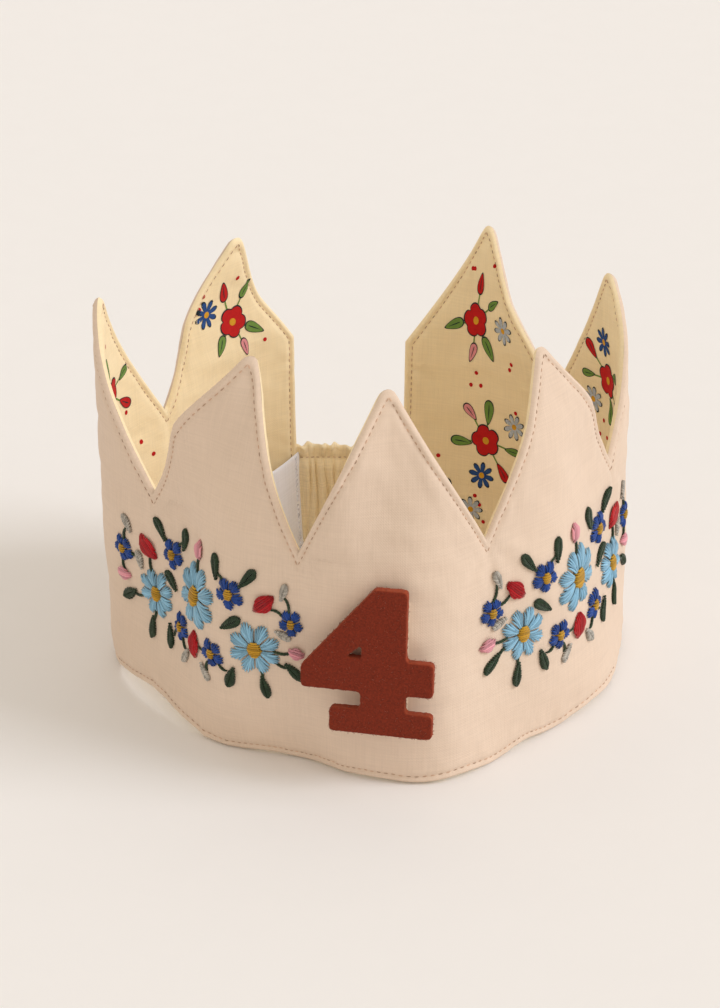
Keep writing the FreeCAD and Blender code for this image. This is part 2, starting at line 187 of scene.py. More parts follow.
def linear(hex_colour):
    """A written sRGB colour as linear red, green and blue."""
    parts = [int(hex_colour[start:start + 2], 16) / 255 for start in (1, 3, 5)]
    return [part / 12.92 if part <= 0.04045 else ((part + 0.055) / 1.055) ** 2.4 for part in parts]


def colour_property(name, hex_colour, description):
    """A colour that a user can change."""
    return bpy.props.FloatVectorProperty(
        name=name, description=description, subtype="COLOR", size=3, min=0, max=1,
        default=linear(hex_colour))


def length_property(name, millimetres, description):
    """A length that a user can change."""
    return bpy.props.FloatProperty(
        name=name, description=description, unit="LENGTH", default=millimetres * MM, min=0)


class CrownSizes(bpy.types.PropertyGroup):
    """The sizes of the crown's cloth and thread."""

    weave_step: length_property("Weave step", 0.8, "Spacing of the threads drawn in the cotton")
    stitch_step: length_property("Stitch step", 2.1, "Length of one machine stitch with its gap")
    stitch_length: length_property("Stitch length", 1.4, "Length of the thread that shows")
    seam_thread: length_property("Seam thread", 0.3, "Width of the machine thread")
    satin_thread: length_property("Satin thread", 0.72, "Width of the embroidery thread")
    fuzz_length: length_property("Fuzz length", 0.7, "Length of the loose fibres on the felt")


class CrownColours(bpy.types.PropertyGroup):
    """The colours of the crown."""

    outer_cotton: colour_property("Outer cotton", "#e5cfbb", "Pale peach plain-woven cotton")
    lining_cotton: colour_property("Lining cotton", "#fdeac3", "Cream cotton of the lining")
    seam_thread: colour_property("Seam thread", "#cfae94", "Light brown machine thread")
    felt: colour_property("Felt", "#842f1a", "Rust-red pressed wool felt")
    label: colour_property("Label", "#f5f6ff", "White woven tape")
    blue_thread: colour_property("Light blue thread", "#8fc0dc", "The large flowers")
    navy_thread: colour_property("Deep blue thread", "#1f4694", "The small flowers")
    ochre_thread: colour_property("Ochre thread", "#c99a2a", "The flowers' centres")
    red_thread: colour_property("Red thread", "#b5121c", "The larger buds")
    pink_thread: colour_property("Pink thread", "#e6a0ac", "The smaller buds")
    green_thread: colour_property("Green thread", "#2c3f2a", "Leaves and stems")
    grey_thread: colour_property("Grey thread", "#b9b4ab", "The pale leaves")
    backdrop: colour_property("Backdrop", "#f4f3f3", "The pale paper that the crown stands on")


def sizes():
    return bpy.context.scene.crown_sizes


def colours():
    return bpy.context.scene.crown_colours


# The shape of the wall

def end_slope(places, values):
    """Slope at the first place of the cubic through the first four values."""
    table = np.vander(places[:4] - places[0], 4)
    return np.linalg.solve(table, values[:4])[-2]


def smooth_slopes(places, values):
    """Slopes at each place of the smooth line through all the values."""
    count = len(places)
    steps = np.diff(places)[:, None]
    rises = np.diff(values, axis=0) / steps
    table = np.eye(count)
    right = np.empty_like(values)
    right[0] = end_slope(places, values)
    right[-1] = end_slope(-places[::-1], -values[::-1])
    for row in range(1, count - 1):
        before, after = steps[row - 1, 0], steps[row, 0]
        table[row, row - 1:row + 2] = after, 2 * (before + after), before
        right[row] = 3 * (after * rises[row - 1] + before * rises[row])
    return np.linalg.solve(table, right)


def ring_lines():
    """The places of the ring's rows, and the round ring with its three sets of offsets there."""
    rows = np.array(RING, float)
    bearing = np.radians(rows[:, 1])
    outward = np.stack([np.sin(bearing), -np.cos(bearing)], axis=1)
    lines = [outward * RING_RADIUS] + [outward * rows[:, column:column + 1] for column in (2, 3, 4)]
    values = np.concatenate(lines, axis=1)
    return rows[:, 0] * HALF_PITCH, values


RING_PLACES, RING_VALUES = ring_lines()
RING_SLOPES = smooth_slopes(RING_PLACES, RING_VALUES)


def point_bend(along, height):
    """How far a place in a soft point has slid along the ring."""
    places, reach = zip(*POINT_BENDS)
    up = np.clip((height - VALLEY_HEIGHT) / POINT_DEPTH, 0, 1)
    return np.interp(along, places, reach) * np.sin(math.pi * up) ** 2


def wall(along, height, offset=0.0):
    """Points of the wall at places on the strip, moved out level by an offset, in millimetres,
    and the level directions out of the wall there."""
    along, height, offset = np.broadcast_arrays(
        np.asarray(along, float), np.asarray(height, float), np.asarray(offset, float))
    along = along + point_bend(along, height)
    part = np.clip(np.searchsorted(RING_PLACES, along, side="right") - 1, 0, len(RING_PLACES) - 2)
    step = (RING_PLACES[part + 1] - RING_PLACES[part])[..., None]
    share = (along - RING_PLACES[part])[..., None] / step
    first, last = RING_VALUES[part], RING_VALUES[part + 1]
    rise, fall = RING_SLOPES[part] * step, RING_SLOPES[part + 1] * step
    line = (first * (2 * share ** 3 - 3 * share ** 2 + 1) + last * (3 * share ** 2 - 2 * share ** 3)
            + rise * (share ** 3 - 2 * share ** 2 + share) + fall * (share ** 3 - share ** 2))
    slope = (first * (6 * share ** 2 - 6 * share) + last * (6 * share - 6 * share ** 2)
             + rise * (3 * share ** 2 - 4 * share + 1) + fall * (3 * share ** 2 - 2 * share))
    levels = np.stack([
        np.ones_like(height),
        (height - VALLEY_HEIGHT) * (height - TIP_HEIGHT) / (VALLEY_HEIGHT * TIP_HEIGHT),
        height * (TIP_HEIGHT - height) / (VALLEY_HEIGHT * POINT_DEPTH),
        height * (height - VALLEY_HEIGHT) / (TIP_HEIGHT * POINT_DEPTH),
    ], axis=-1)[..., None]
    flat = (line.reshape(line.shape[:-1] + (4, 2)) * levels).sum(-2)
    onward = (slope.reshape(slope.shape[:-1] + (4, 2)) * levels).sum(-2)
    out = np.stack([onward[..., 1], -onward[..., 0]], axis=-1)
    out /= np.linalg.norm(out, axis=-1, keepdims=True)
    flat = flat + out * offset[..., None] + RING_CENTRE
    points = np.concatenate([flat, height[..., None]], axis=-1)
    return points, np.concatenate([out, np.zeros_like(height)[..., None]], axis=-1)


def rim_height(along, inset):
    """Height of the cut edge: slopes between the valleys and the rounded tips."""
    from_tip = np.abs(along % POINT_PITCH - HALF_PITCH)
    sharp = TIP_HEIGHT - from_tip * SLOPE_RISE - inset * EDGE_SHIFT
    radius = TIP_ROUND
    spread = np.minimum(from_tip, radius)
    round_top = TIP_HEIGHT - (radius + inset) * EDGE_SHIFT + np.sqrt(radius ** 2 - spread ** 2)
    return np.where(from_tip < TIP_SPREAD, round_top, sharp)


def hem_height(along, inset):
    """Height of the lower edge: rippled just off the table, and higher along the buckled stretch."""
    reach = np.minimum(np.abs(along - ARCH_PLACE), ARCH_SPAN / 2)
    radius = ((ARCH_SPAN / 2) ** 2 + ARCH_RISE ** 2) / (2 * ARCH_RISE)
    ripple = HEM_WAVE / 2 * (1 + soft_waves(along, 0.0, 61, HEM_WAVE_STEP, 5))
    return inset + np.maximum(0, ripple) + ARCH_RISE - radius + np.sqrt(radius ** 2 - reach ** 2)


def edge_distance(along, height):
    """How far a place on the strip is from the nearest edge."""
    from_rim = (rim_height(along, 0) - height) / EDGE_SHIFT
    from_hem = height - hem_height(along, 0)
    from_ends = np.minimum(along - STRIP_START, STRIP_END - along)
    return np.maximum(0, np.minimum(np.minimum(from_rim, from_hem), from_ends))


def soft_waves(along, height, seed, wave, count=9):
    """Soft folds without a direction, between about -1 and 1."""
    draw = random.Random(seed)
    total = 0
    for _ in range(count):
        turn = draw.uniform(0, math.pi)
        size = wave * draw.uniform(0.7, 1.6)
        phase = draw.uniform(0, 2 * math.pi)
        across = along * math.cos(turn) + height * math.sin(turn)
        total = total + np.sin(2 * math.pi * across / size + phase)
    return total / math.sqrt(count * 2)


def valley_drag(along, height):
    """Small creases that fan down from the corner of each valley, where the cloths are clipped."""
    across = (along % POINT_PITCH + HALF_PITCH) % POINT_PITCH - HALF_PITCH
    down = VALLEY_HEIGHT - height
    reach = np.hypot(across, down)
    turn = np.arctan2(across, np.maximum(down, 0.01))
    fade = np.exp(-((reach - DRAG_REACH) / DRAG_SPREAD) ** 2) * (down > 0)
    return DRAG_DEPTH * np.cos(turn * DRAG_COUNT + along * 0.01) * fade


def skin_offset(along, height, side):
    """How far a cloth stands from the wall's middle. side is 1 outside and -1 inside."""
    near = edge_distance(along, height)
    roll = np.sqrt(1 - (1 - np.minimum(near, EDGE_ROLL) / EDGE_ROLL) ** 2)
    swell = MIDDLE_SWELL * (1 - np.exp(-np.maximum(near - STITCH_INSET, 0) / SWELL_REACH))
    dip = STITCH_DIP * np.exp(-((near - STITCH_INSET) / STITCH_DIP_WIDTH) ** 2)
    thick = EDGE_ROLL * roll + swell - dip
    at_seam = np.exp(-((near - STITCH_INSET - EDGE_ROLL) / PUCKER_REACH) ** 2)
    pucker = soft_waves(along * 1.6 + side * 40, height * 0.5, 5, PUCKER_STEP) * at_seam
    fine = WRINKLE_DEPTH + WRINKLE_AT_SEAM * at_seam
    fine = fine * soft_waves(along, height, 11 + side, WRINKLE_STEP) * roll
    inner = np.minimum(near / FOLD_FADE, 1) * (1 + POINT_FOLDS * np.clip((height - 60) / 20, 0, 1))
    broad = BROAD_FOLD * soft_waves(along, height, 23, BROAD_FOLD_STEP)
    small = SMALL_FOLD * soft_waves(along * 0.7, height * 1.5, 31 + side, SMALL_FOLD_STEP)
    folds = (broad + small) * inner
    return side * (thick + fine) + PUCKER_DEPTH * pucker + folds + valley_drag(along, height)


def cloth_point(along, height, side, lift=0.0):
    """A point on a cloth of the wall, lifted off it, with the direction out of the cloth."""
    points, out = wall(along, height, skin_offset(along, height, side) + side * lift)
    return points, out * side


def columns(inset):
    """Places of the cloth's columns, held back at both ends."""
    step_count = int(round(HALF_PITCH / COLUMN_STEP))
    places = np.arange(1, 2 * POINT_COUNT * step_count) * COLUMN_STEP
    places = places[(places > STRIP_START + 0.3) & (places < STRIP_END - 0.3)]
    places = np.concatenate([[STRIP_START], places, [STRIP_END]])
    inner = HALF_PITCH - STRIP_START
    from_start = np.maximum(0, HALF_PITCH - places) / inner
    from_end = np.maximum(0, places - STRIP_LENGTH + HALF_PITCH) / inner
    return places + inset * (from_start - from_end)


def strip_places(inset, rows=ROW_COUNT):
    """Places of a grid over the strip: along and height, columns by rows."""
    along = columns(inset)
    low = hem_height(along, inset)
    high = rim_height(along, inset)
    share = np.linspace(0, 1, rows)
    height = low[:, None] + (high - low)[:, None] * share
    return np.broadcast_to(along[:, None], height.shape), height


def rim_loop(shape):
    """Indices of the outer loop of a grid."""
    count, rows = shape
    grid = np.arange(count * rows).reshape(shape)
    return np.concatenate([grid[:, 0], grid[-1, 1:-1], grid[::-1, -1], grid[0, -2:0:-1]])


def grid_faces(shape, first=0):
    """The faces of a grid."""
    grid = np.arange(shape[0] * shape[1]).reshape(shape) + first
    return np.stack([grid[:-1, :-1], grid[1:, :-1], grid[1:, 1:], grid[:-1, 1:]], -1).reshape(-1, 4)


def loop_faces(first, second):
    """The faces between two closed loops of the same length."""
    return np.stack([first, np.roll(first, -1), np.roll(second, -1), second], -1)


# Meshes and strands

def new_piece(name, points, faces, material, places=None):
    """A piece made from points in millimetres, riding on the crown."""
    mesh = bpy.data.meshes.new(name)
    mesh.from_pydata((np.asarray(points) * MM).tolist(), [], [list(face) for face in faces])
    mesh.polygons.foreach_set("use_smooth", [True] * len(mesh.polygons))
    if places is not None:
        layer = mesh.uv_layers.new(name="cloth")
        corner = np.empty(len(mesh.loops), np.int32)
        mesh.loops.foreach_get("vertex_index", corner)
        layer.data.foreach_set("uv", np.asarray(places, np.float32)[corner].ravel())
    mesh.materials.append(material)
    mesh.validate()
    piece = bpy.data.objects.new(name, mesh)
    bpy.context.scene.collection.objects.link(piece)
    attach(piece, "root")
    return piece


def strands(paths, ups, width, sides=5, taper=0.55):
    """Points and faces of many like strands: paths is strands by points by 3."""
    paths = np.asarray(paths, float)
    ups = np.asarray(ups, float)
    onward = np.gradient(paths, axis=1)
    onward /= np.maximum(np.linalg.norm(onward, axis=-1, keepdims=True), 1e-9)
    across = np.cross(onward, ups)
    across /= np.maximum(np.linalg.norm(across, axis=-1, keepdims=True), 1e-9)
    above = np.cross(across, onward)
    count, length = paths.shape[:2]
    size = np.full(length, width / 2)
    size[[0, -1]] *= taper
    turns = 2 * np.pi * np.arange(sides) / sides
    around = across[:, :, None] * np.cos(turns)[:, None] + above[:, :, None] * np.sin(turns)[:, None]
    points = (paths[:, :, None] + around * size[:, None, None]).reshape(-1, 3)
    grid = np.arange(count * length * sides).reshape(count, length, sides)
    first, last = grid[:, :-1], grid[:, 1:]
    quads = np.stack([first, np.roll(first, -1, 2), np.roll(last, -1, 2), last], -1).reshape(-1, 4)
    caps = np.concatenate([grid[:, 0, ::-1], grid[:, -1]])
    return points, quads.tolist() + caps.tolist()


def gathered(groups):
    """Several sets of points and faces as one."""
    points, faces, first = [], [], 0
    for some_points, some_faces in groups:
        points.append(some_points)
        faces += [[corner + first for corner in face] for face in some_faces]
        first += len(some_points)
    return np.concatenate(points), faces


# Materials

def add_node(tree, kind, settings=None, inputs=None):
    """Add a node, with its settings, values and links."""
    node = tree.nodes.new(kind)
    for name, value in (settings or {}).items():
        setattr(node, name, value)
    for name, value in (inputs or {}).items():
        if isinstance(value, bpy.types.NodeSocket):
            tree.links.new(value, node.inputs[name])
        else:
            node.inputs[name].default_value = value
    return node


def new_material(name, roughness, sheen=0.0, sheen_roughness=0.5):
    """An empty material with its shader."""
    material = bpy.data.materials.new(name)
    material.use_nodes = True
    tree = material.node_tree
    tree.nodes.clear()
    shader = add_node(tree, "ShaderNodeBsdfPrincipled", None, {
        "Roughness": roughness, "Sheen Weight": sheen, "Sheen Roughness": sheen_roughness,
        "Specular IOR Level": 0.25})
    add_node(tree, "ShaderNodeOutputMaterial", None, {"Surface": shader.outputs[0]})
    return material, tree, shader


def rgba(colour, share=1.0):
    return (colour[0] * share, colour[1] * share, colour[2] * share, 1.0)


def math_node(tree, operation, *values):
    """The result of a sum on sockets and numbers."""
    inputs = {index: value for index, value in enumerate(values)}
    return add_node(tree, "ShaderNodeMath", {"operation": operation}, inputs).outputs[0]


def noise_node(tree, place, scale, detail, flat=False):
    """Soft noise, over a cloth's own places where it is flat and otherwise through space."""
    return add_node(tree, "ShaderNodeTexNoise", {"noise_dimensions": "2D" if flat else "3D"}, {
        "Vector": place, "Scale": scale, "Detail": detail}).outputs[0]


def blend_node(tree, amount, first, second):
    """A colour between two others."""
    return add_node(tree, "ShaderNodeMix", {"data_type": "RGBA"}, {
        0: amount, 6: first, 7: second}).outputs[2]


def finish_shader(tree, shader, tint, relief=None, strength=0.0, depth=0.0):
    """Give a shader its colour, and a relief whose depth is in millimetres."""
    tree.links.new(tint, shader.inputs["Base Color"])
    if relief is not None:
        bump = add_node(tree, "ShaderNodeBump", None, {
            "Strength": strength, "Distance": depth * MM, "Height": relief})
        tree.links.new(bump.outputs[0], shader.inputs["Normal"])


def cotton(name, colour, shade=0.94, weave_depth=0.05):
    """Plain-woven cotton, spun and calendered: an even matt cloth whose threads cross one by one,
    with thicker and thinner threads that show as faint streaks both ways. The threads are drawn
    about twice as coarse as they are, so that they show."""
    material, tree, shader = new_material(name, 0.85, 0.12, 0.4)
    place = add_node(tree, "ShaderNodeUVMap", {"uv_map": "cloth"}).outputs[0]
    split = add_node(tree, "ShaderNodeSeparateXYZ", None, {0: place})
    step = sizes().weave_step / MM
    threads = []
    for axis in (0, 1):
        turn = math_node(tree, "MULTIPLY", split.outputs[axis], 2 * math.pi / step)
        threads.append(math_node(tree, "SINE", turn))
    crossing = math_node(tree, "MULTIPLY", threads[0], threads[1])
    streaks = []
    for scale in ((1.9, 0.07, 1), (0.07, 1.9, 1)):
        moved = add_node(tree, "ShaderNodeVectorMath", {"operation": "MULTIPLY"}, {0: place, 1: scale})
        streaks.append(noise_node(tree, moved.outputs[0], 1.0, 2.0, flat=True))
    cloudy = noise_node(tree, place, 0.03, 3.0, flat=True)
    streak = math_node(tree, "ADD", streaks[0], streaks[1])
    mixed = math_node(tree, "MULTIPLY_ADD", crossing, 0.04, streak)
    mixed = math_node(tree, "MULTIPLY_ADD", cloudy, 0.6, mixed)
    amount = add_node(tree, "ShaderNodeMapRange", None, {
        "Value": mixed, "From Min": 0.85, "From Max": 1.75}).outputs[0]
    tint = blend_node(tree, amount, rgba(colour, shade), rgba(colour, 1.03))
    relief = math_node(tree, "MULTIPLY_ADD", crossing, 0.35, streak)
    finish_shader(tree, shader, tint, relief, 0.7, weave_depth)
    return material


def thread(name, colour, roughness=0.5):
    """Mercerised cotton thread: boiled in lye under tension, so that it has a soft silky gleam.
    Each strand takes the dye a little differently."""
    material, tree, shader = new_material(name, roughness, 0.25, 0.35)
    each = add_node(tree, "ShaderNodeNewGeometry").outputs["Random Per Island"]
    tint = blend_node(tree, each, rgba(colour, 0.66), rgba(colour, 1.15))
    place = add_node(tree, "ShaderNodeTexCoord").outputs["Object"]
    finish_shader(tree, shader, tint, noise_node(tree, place, 3500.0, 2.0), 0.5, 0.06)
    return material


def speckled(name, colour, grain, depth, shade=0.8, roughness=0.95, sheen=0.2, edge=None):
    """A matt stuff made of short tangled fibres, pressed or needled together. Grain is the size
    of its specks in millimetres. Where an edge colour is given, the cut edges are painted lighter
    in it: a painted highlight for the fibres that stand up there and catch the light."""
    material, tree, shader = new_material(name, roughness, sheen, 0.6)
    place = add_node(tree, "ShaderNodeTexCoord").outputs["Object"]
    speck = add_node(tree, "ShaderNodeTexNoise", None, {
        "Vector": place, "Scale": 1 / (grain * MM), "Detail": 4.0, "Roughness": 0.7}).outputs[0]
    amount = add_node(tree, "ShaderNodeMapRange", None, {
        "Value": speck, "From Min": 0.36, "From Max": 0.64}).outputs[0]
    tint = blend_node(tree, amount, rgba(colour, shade), rgba(colour, 1.1))
    # Painted highlight: the lighter edge colour is blended in over the side faces that the mask marks.
    if edge is not None:
        cut = add_node(tree, "ShaderNodeAttribute", {"attribute_name": "cut_edge"}).outputs["Fac"]
        tint = blend_node(tree, cut, tint, edge)
    finish_shader(tree, shader, tint, speck, 0.8, depth)
    return material


def ribbed(name, colour, step, depth):
    """Woven tape with fine ribs straight up its length."""
    material, tree, shader = new_material(name, 0.8, 0.1, 0.4)
    place = add_node(tree, "ShaderNodeTexCoord").outputs["Object"]
    ribs = add_node(tree, "ShaderNodeTexWave", {"bands_direction": "Z"}, {
        "Vector": place, "Scale": 2 * math.pi / (20 * step * MM), "Distortion": 0.6}).outputs["Fac"]
    finish_shader(tree, shader, blend_node(tree, ribs, rgba(colour, 0.88), rgba(colour)), ribs, 0.6, depth)
    return material


def dye(name, colour):
    """Pigment ink screen-printed on cotton: flat and matt, a little worn into the weave."""
    material, tree, shader = new_material(name, 0.85, 0.05, 0.4)
    place = add_node(tree, "ShaderNodeTexCoord").outputs["Object"]
    worn = noise_node(tree, place, 900.0, 3.0)
    finish_shader(tree, shader, blend_node(tree, worn, rgba(colour, 0.8), rgba(colour, 1.15)))
    return material


# The pieces

def padded_cloth(name, side, material):
    """One cloth of the wall, rolled over at its edges and drawn in along the stitching."""
    points, places, faces, loops = [], [], [], []
    first = 0
    for inset in RING_INSETS[:-1]:
        along, height = strip_places(inset)
        loop = rim_loop(along.shape)
        along, height = along.ravel()[loop], height.ravel()[loop]
        points.append(cloth_point(along, height, side)[0])
        places.append(np.stack([along, height], -1))
        loops.append(np.arange(len(loop)) + first)
        first += len(loop)
    along, height = strip_places(RING_INSETS[-1])
    loops.append(rim_loop(along.shape) + first)
    points.append(cloth_point(along.ravel(), height.ravel(), side)[0])
    places.append(np.stack([along.ravel(), height.ravel()], -1))
    for outer, inner in zip(loops, loops[1:]):
        faces.append(loop_faces(outer, inner))
    faces.append(grid_faces(along.shape, first))
    faces = np.concatenate(faces)
    if side < 0:
        faces = faces[:, ::-1]
    return new_piece(name, np.concatenate(points), faces.tolist(), material,
                     places=np.concatenate(places))


def stitch_path(step):
    """Places of machine stitches round the strip, all one inset from its edges."""
    inset = STITCH_INSET
    start, end = STRIP_START + inset, STRIP_END - inset
    corners = [(start, inset), (end, inset)]
    corners.append((end, float(rim_height(end, inset))))
    for half in range(2 * POINT_COUNT - 1, 0, -1):
        place = half * HALF_PITCH
        top = TIP_HEIGHT if half % 2 else VALLEY_HEIGHT
        corners.append((place, top - inset * EDGE_SHIFT))
    corners += [(start, float(rim_height(start, inset))), (start, inset)]
    stitches = []
    for (x0, y0), (x1, y1) in zip(corners, corners[1:]):
        run = math.hypot(x1 - x0, y1 - y0)
        count = max(1, round(run / step))
        for index in range(count):
            share = np.linspace(0, sizes().stitch_length / MM / step, 5) + 0.15
            share = (index + share) / count
            along = x0 + (x1 - x0) * share
            height = y0 + (y1 - y0) * share
            low = y0 == y1 == inset
            stitches.append((along, hem_height(along, inset) if low else height))
    return np.array(stitches)


def topstitching(name, side, material):
    """The row of machine stitches all round one cloth."""
    path = stitch_path(sizes().stitch_step / MM)
    lift = np.array([-0.15, 0.08, 0.14, 0.08, -0.15])
    points, out = cloth_point(path[:, 0], path[:, 1], side, lift)
    return new_piece(name, *strands(points, out, sizes().seam_thread / MM), material)


def flower_strands(radius, petals, spacing, draw, turn):
    """Flat strands of a flower: each petal is a fan of stitches out from the centre."""
    lines = []
    for petal in range(petals):
        count = max(4, int(round(2 * math.pi * radius * 0.68 / petals / spacing)))
        for index in range(count):
            share = (index + 0.5) / count
            angle = 2 * math.pi * (petal + 0.03 + 0.94 * share) / petals + turn
            middle = 2 * math.pi * (petal + 0.5) / petals + turn
            reach = radius * (0.60 + 0.40 * math.sin(math.pi * share) ** 0.55) + draw.uniform(-0.3, 0.3)
            high = draw.uniform(-0.08, 0.08)
            inner = radius * CENTRE_SHARE * 0.7
            if index % 2:
                inner += 0.3 * (reach - inner)
            line = []
            for step in range(6):
                along = step / 5
                distance = inner + (reach - inner) * along
                bend = middle + (angle - middle) * (0.55 + 0.45 * along)
                crown = 0.35 * math.sin(math.pi * share)
                loft = (0.35 + crown) * math.sin(math.pi * min(1, 0.12 + 0.88 * along)) ** 0.5
                if step == 5:
                    loft = -0.05
                line.append((distance * math.cos(bend), distance * math.sin(bend), loft + high + 0.15))
            lines.append(line)
    return lines


def disc_strands(radius, spacing, draw):
    """Flat strands of a flower's centre: parallel stitches over a small pad."""
    lines = []
    count = int(2 * radius / spacing)
    for index in range(count):
        across = -radius + (index + 0.5) * 2 * radius / count
        half = math.sqrt(max(radius ** 2 - across ** 2, 0.04)) + draw.uniform(-0.1, 0.1)
        line = []
        for step in range(6):
            along = -1 + 2 * step / 5
            loft = 1.35 * math.sqrt(max(0, 1 - along ** 4)) + 0.1
            loft *= 0.75 + 0.25 * half / radius
            line.append((along * half, across, loft))
        lines.append(line)
    return lines


def leaf_strands(length, width, turn, spacing, draw):
    """Flat strands of a leaf: slanting stitches from its vein to its two edges."""
    lines = []
    count = int(length / spacing * 0.95)
    for index in range(count):
        share = (index + 0.5) / count
        half = width / 2 * math.sin(math.pi * share) ** 0.8 + draw.uniform(-0.08, 0.08)
        for edge in (-1, 1):
            line = []
            for step in range(5):
                out = step / 4
                x = length * (share - 0.5) - length * 0.06 + out * half * 0.9
                y = edge * half * out * 1.05
                loft = 0.15 + 0.45 * math.sin(math.pi * (0.15 + 0.85 * out)) ** 0.6
                if step == 4:
                    loft = 0.0
                line.append((x, y, loft))
            lines.append(line)
    return turned(lines, turn)


def bud_strands(length, width, turn, spacing, draw):
    """Flat strands of a bud: stitches from its foot to its tip."""
    lines = []
    count = max(3, int(width / spacing * 0.9))
    for index in range(count):
        across = (index + 0.5) / count * 2 - 1
        reach = length / 2 * math.sqrt(max(0.08, 1 - across ** 2)) + draw.uniform(-0.25, 0.25)
        line = []
        for step in range(6):
            along = -1 + 2 * step / 5
            y = across * width / 2 * (1 - 0.35 * along ** 2)
            loft = 0.1 + (0.55 + 0.35 * (1 - across ** 2)) * math.sqrt(max(0, 1 - along ** 4))
            line.append((along * reach, y, loft))
        lines.append(line)
    return turned(lines, turn)


def turned(lines, degrees):
    cosine, sine = math.cos(math.radians(degrees)), math.sin(math.radians(degrees))
    return [[(x * cosine - y * sine, x * sine + y * cosine, z) for x, y, z in line] for line in lines]


def stem_strands(start, end, draw):
    """Flat strands of a stem: short slanting stitches that overlap along a curved line."""
    (x0, y0), (x1, y1) = start, end
    run = math.hypot(x1 - x0, y1 - y0)
    if run < 1.5:
        return []
    bend = draw.choice((-1, 1)) * 0.12 * run
    count = max(2, int(run / 0.9))
    lines = []
    for index in range(count):
        line = []
        for step in range(5):
            share = (index + step / 4 * 2.2 - 0.6) / count
            side = 0.28 * (step / 2 - 1)
            bow = bend * 4 * share * (1 - share)
            x = x0 + (x1 - x0) * share - (y1 - y0) / run * (bow + side)
            y = y0 + (y1 - y0) * share + (x1 - x0) / run * (bow + side)
            line.append((x, y, (0.0, 0.25, 0.32, 0.25, 0.0)[step]))
        lines.append(line)
    return lines


def spray_strands(spacing, seed):
    """All the strands of a spray by the colour of their thread."""
    draw = random.Random(seed)
    colours_of = {}

    def add(colour, lines, x, y):
        moved = [[(x + px, y + py, pz) for px, py, pz in line] for line in lines]
        colours_of.setdefault(colour, []).extend(moved)

    for x, y, radius in LARGE_FLOWERS:
        add("blue_blossoms", flower_strands(radius, 8, spacing, draw, 0), x, y)
        add("ochre_centres", disc_strands(radius * CENTRE_SHARE, spacing, draw), x, y)
    for x, y, radius in SMALL_FLOWERS:
        add("navy_blossoms", flower_strands(radius, 5, spacing, draw, math.pi / 2), x, y)
        add("ochre_centres", disc_strands(radius * CENTRE_SHARE * 1.1, spacing, draw), x, y)
    flowers = LARGE_FLOWERS + SMALL_FLOWERS
    for colour, length, width, rows, make in (
        ("red_buds", 9.0, 5.6, RED_BUDS, bud_strands),
        ("pink_buds", 6.5, 4.2, PINK_BUDS, bud_strands),
        ("green_leaves", 8.0, 3.2, GREEN_LEAVES, leaf_strands),
        ("grey_leaves", 6.0, 2.6, GREY_LEAVES, leaf_strands),
    ):
        for x, y, turn in rows:
            add(colour, make(length, width, turn, spacing, draw), x, y)
            fx, fy, radius = min(flowers, key=lambda row: math.hypot(row[0] - x, row[1] - y) - row[2])
            gap = math.hypot(fx - x, fy - y)
            near = (length * 0.35) / gap
            far = 1 - radius * 0.75 / gap
            start = (x + (fx - x) * near, y + (fy - y) * near)
            end = (x + (fx - x) * far, y + (fy - y) * far)
            if far > near:
                colours_of.setdefault("green_leaves", []).extend(stem_strands(start, end, draw))
    return colours_of


def embroidered(name, lines, middle, flip, material):
    """Strands of one colour laid on the outer cloth."""
    groups = []
    for length in sorted({len(line) for line in lines}):
        some = np.array([line for line in lines if len(line) == length])
        along = middle + flip * some[..., 0]
        height = SPRAY_HEIGHT + some[..., 1]
        points, out = cloth_point(along, height, 1, some[..., 2] + 0.12)
        groups.append(strands(points, out, sizes().satin_thread / MM))
    return new_piece(name, *gathered(groups), material)


# The gathered casing: its ruffled headers outside the two rows of stitches, and its pleats
SEAM_STEP = 0.8
CASING_HEADER = 4.0
CASING_BOW = 1.5
CASING_FOLD_HALF = 0.35
CASING_FULLNESS = 1.8
PLEAT_STEP = 3.1
OTHER_PLEAT_STEP = 4.6
PLEAT_DEPTH = 2.3
HEADER_PLEAT_DEPTH = 0.55
RUFFLE_STEP = 4.3
RUFFLE_DEPTH = 1.5


